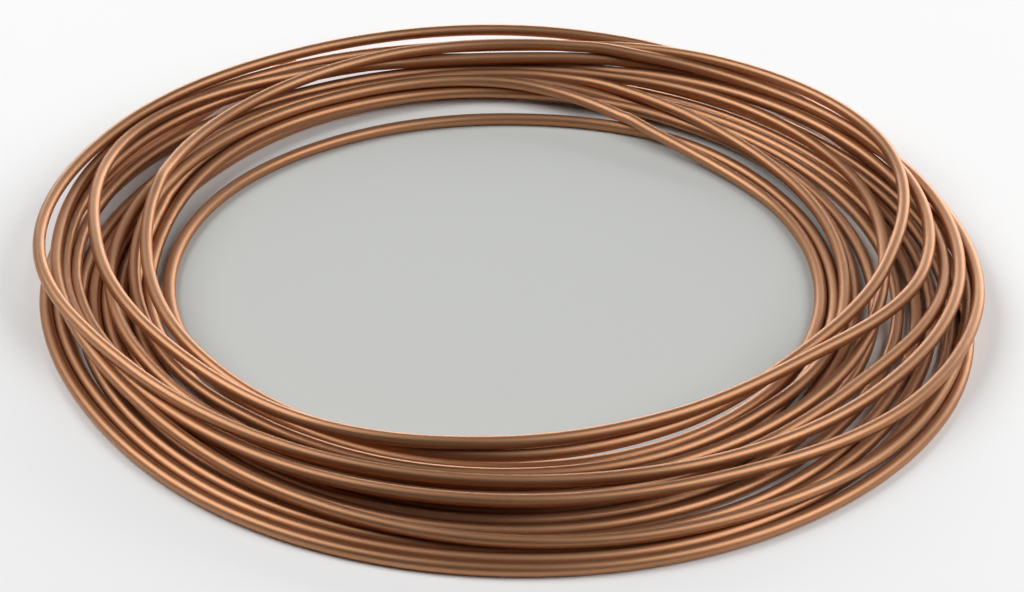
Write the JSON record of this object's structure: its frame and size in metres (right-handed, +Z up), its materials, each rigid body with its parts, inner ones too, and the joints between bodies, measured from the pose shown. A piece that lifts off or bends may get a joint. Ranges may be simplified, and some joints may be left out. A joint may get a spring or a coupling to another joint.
{
  "type": "copper tube coil",
  "caption": "Loose hand-wound coil of small bare copper tube lying flat, with crossing turns round an open eye and both free ends at the outside.",
  "frame": {"origin": "centre of the coil's footprint, on the floor it lies on", "axes": "+Z up along the coil's own axis, out of the open eye; the two free ends lie on the +Y side, and the picture looks along +Y"},
  "size_m": [0.356, 0.356, 0.0226],
  "materials": {
    "copper": null
  },
  "bodies": {
    "root": {"copper_tube": "copper"}
  },
  "joints": []
}
